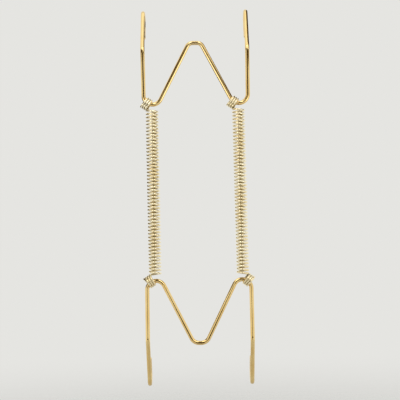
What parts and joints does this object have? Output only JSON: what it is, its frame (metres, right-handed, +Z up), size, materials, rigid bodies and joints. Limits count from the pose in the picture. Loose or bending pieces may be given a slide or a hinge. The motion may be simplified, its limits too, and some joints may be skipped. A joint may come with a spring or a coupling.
{
  "type": "wire plate hanger",
  "caption": "Spring-loaded wire plate hanger: bent wire bows with rim hooks, drawn together by coil springs to grip a plate's rim, with a V bend that hangs on a nail.",
  "frame": {"origin": "underside of the hanging bend at the point of the upper V, where the nail bears", "axes": "+Z up the wall, +Y from the wall to the plate, +X to the right seen from the wall side"},
  "size_m": [0.0574, 0.0285, 0.1961],
  "materials": {
    "bow_wire": "bright plated wire",
    "spring_wire": "bright plated wire"
  },
  "bodies": {
    "upper_bow": {"upper_bow": "bow_wire"},
    "spring_tops": {"left_spring": "spring_wire"},
    "spring_feet": {"right_spring": "spring_wire"},
    "lower_bow": {"lower_bow": "bow_wire"}
  },
  "joints": [
    {"name": "upper_hinge", "type": "hinge", "parent": "upper_bow", "child": "spring_tops", "pos_m": [0, 0.00579, -0.02871], "axis": [1, 0, 0], "range_deg": [-60, 60]},
    {"name": "spring_stretch", "type": "slide", "parent": "spring_tops", "child": "spring_feet", "axis": [0, 0, -1], "range_m": [-0.031, 0.02], "stiffness_N_per_m": 3400, "deforming": ["left_spring", "right_spring"]},
    {"name": "lower_hinge", "type": "hinge", "parent": "spring_feet", "child": "lower_bow", "pos_m": [0, 0.00579, -0.12094], "axis": [1, 0, 0], "range_deg": [-60, 60]}
  ]
}
